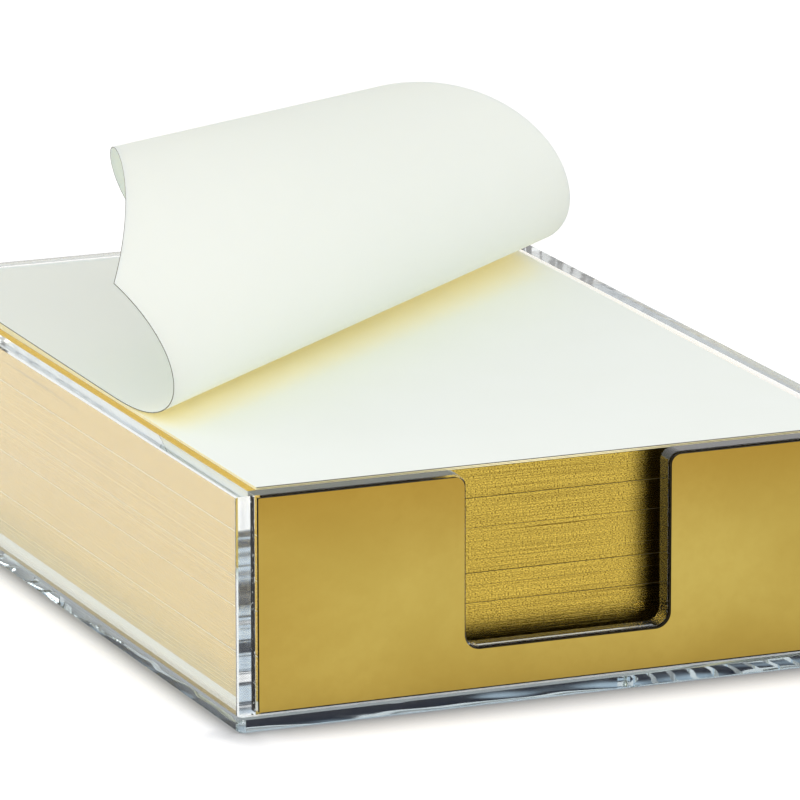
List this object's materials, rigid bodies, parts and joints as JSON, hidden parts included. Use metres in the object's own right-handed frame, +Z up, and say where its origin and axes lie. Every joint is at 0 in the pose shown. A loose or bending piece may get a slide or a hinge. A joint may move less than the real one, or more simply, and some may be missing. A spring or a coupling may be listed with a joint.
{
  "type": "memo sheet tray",
  "caption": "Clear acrylic desk tray with a brass-faced front and a thumb notch, holding a stack of loose gilt-edged memo sheets, the top one curled back.",
  "frame": {"origin": "centre of the base plate's underside", "axes": "+X to the right, +Y from the brass-faced front to the back along the sheets' length, +Z up"},
  "size_m": [0.121, 0.1666, 0.0791],
  "materials": {
    "clear_acrylic": "clear cast acrylic, polished faces and edges, solvent-bonded corners",
    "brass_plate": "thin gold-toned brass plate, softly brushed with faint mottling, satin",
    "bond_film": "double-sided bonding film behind the plate",
    "memo_paper": "smooth cream-white writing paper with gilt edges"
  },
  "bodies": {
    "tray": {"base_plate": "clear_acrylic", "left_wall": "clear_acrylic", "right_wall": "clear_acrylic", "back_wall": "clear_acrylic", "front_wall": "clear_acrylic", "face_film": "bond_film", "face_plate": "brass_plate"},
    "stack": {"sheet_group_01": "memo_paper", "sheet_group_02": "memo_paper", "sheet_group_03": "memo_paper", "sheet_group_04": "memo_paper", "sheet_group_05": "memo_paper", "sheet_group_06": "memo_paper", "sheet_group_07": "memo_paper", "sheet_group_08": "memo_paper", "sheet_group_09": "memo_paper", "sheet_group_10": "memo_paper", "sheet_group_11": "memo_paper", "sheet_group_12": "memo_paper", "sheet_group_13": "memo_paper", "sheet_group_14": "memo_paper"},
    "lifted_1": {"lifted_sheet_1": "memo_paper"},
    "lifted_2": {"lifted_sheet_2": "memo_paper"},
    "top": {"top_sheet": "memo_paper"}
  },
  "joints": [
    {"name": "stack_lift", "type": "slide", "parent": "tray", "child": "stack", "axis": [0, 0, 1], "range_m": [0, 0.04]},
    {"name": "lifted_1_lift", "type": "slide", "parent": "stack", "child": "lifted_1", "axis": [0, 0, 1], "range_m": [0, 0.03]},
    {"name": "lifted_2_lift", "type": "slide", "parent": "lifted_1", "child": "lifted_2", "axis": [0, 0, 1], "range_m": [0, 0.03]},
    {"name": "top_sheet_lift", "type": "slide", "parent": "lifted_2", "child": "top", "axis": [0, 0, 1], "range_m": [0, 0.05]}
  ]
}
